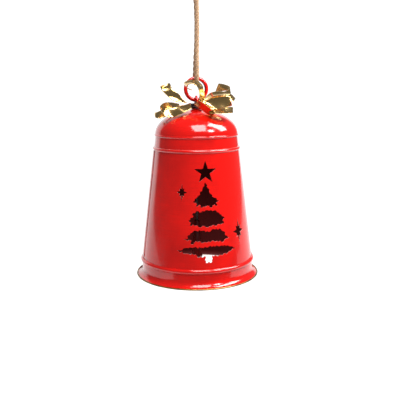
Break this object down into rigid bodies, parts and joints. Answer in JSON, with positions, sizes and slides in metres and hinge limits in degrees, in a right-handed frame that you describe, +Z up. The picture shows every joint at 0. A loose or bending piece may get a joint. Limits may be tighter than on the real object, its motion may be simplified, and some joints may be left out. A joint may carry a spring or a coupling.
{
  "type": "hanging bell ornament",
  "caption": "Tall sheet-metal hanging bell with domed crown, raised beads, flared rolled mouth, cut-out tree, star and sparkles, ribbon bow, swinging clapper, ring and doubled rope.",
  "frame": {"origin": "hanging point: where a hook carries the rope, between its two legs just under the knot", "axes": "+Z up along the bell's axis; the cut-out tree faces -Y; +X is to the right seen from the front"},
  "size_m": [0.15, 0.15, 0.364],
  "materials": {
    "red_enamel": "gloss",
    "gold_lip": "satin",
    "plain_steel": "satin",
    "clapper_enamel": "gloss",
    "jute": "matte",
    "gold_ribbon": "gloss",
    "dark_wire": "gloss"
  },
  "bodies": {
    "rope": {"hang_rope": "jute", "rope_knot": "jute", "rope_tails": "jute"},
    "ring": {"hanging_ring": "red_enamel"},
    "bell": {"bell_body": "red_enamel", "crown_cap": "red_enamel", "skirt_band": "red_enamel", "lip_roll": "gold_lip", "rim_wire": "plain_steel", "crown_eye_bolt": "red_enamel", "crown_washer": "red_enamel", "inner_washer": "plain_steel", "crown_nut": "plain_steel", "clapper_eye_nut": "plain_steel", "bow_tie_wire": "dark_wire", "bow_loop_upper_left": "gold_ribbon", "bow_loop_lower_left": "gold_ribbon", "bow_tail_left": "gold_ribbon", "bow_loop_centre": "gold_ribbon", "bow_tail_front": "gold_ribbon", "bow_loop_lower_right": "gold_ribbon", "bow_loop_right": "gold_ribbon", "bow_loop_upper_right": "gold_ribbon", "bow_tail_right": "gold_ribbon"},
    "clapper_link": {"clapper_link": "plain_steel"},
    "clapper": {"clapper_rod": "plain_steel", "clapper_weight": "clapper_enamel"}
  },
  "joints": [
    {"name": "ring_tilt", "type": "hinge", "parent": "rope", "child": "ring", "pos_m": [0, 0, -0.10125], "axis": [1, 0, 0], "range_deg": [-20, 20]},
    {"name": "bell_swing", "type": "hinge", "parent": "ring", "child": "bell", "pos_m": [0, 0, -0.11385], "axis": [0, 1, 0], "range_deg": [-15, 15]},
    {"name": "link_swing", "type": "hinge", "parent": "bell", "child": "clapper_link", "pos_m": [0, 0, -0.15926], "axis": [1, 0, 0], "range_deg": [-6, 6]},
    {"name": "clapper_swing", "type": "hinge", "parent": "clapper_link", "child": "clapper", "pos_m": [0, 0, -0.17056], "axis": [0, 1, 0], "range_deg": [-22, 22]}
  ]
}
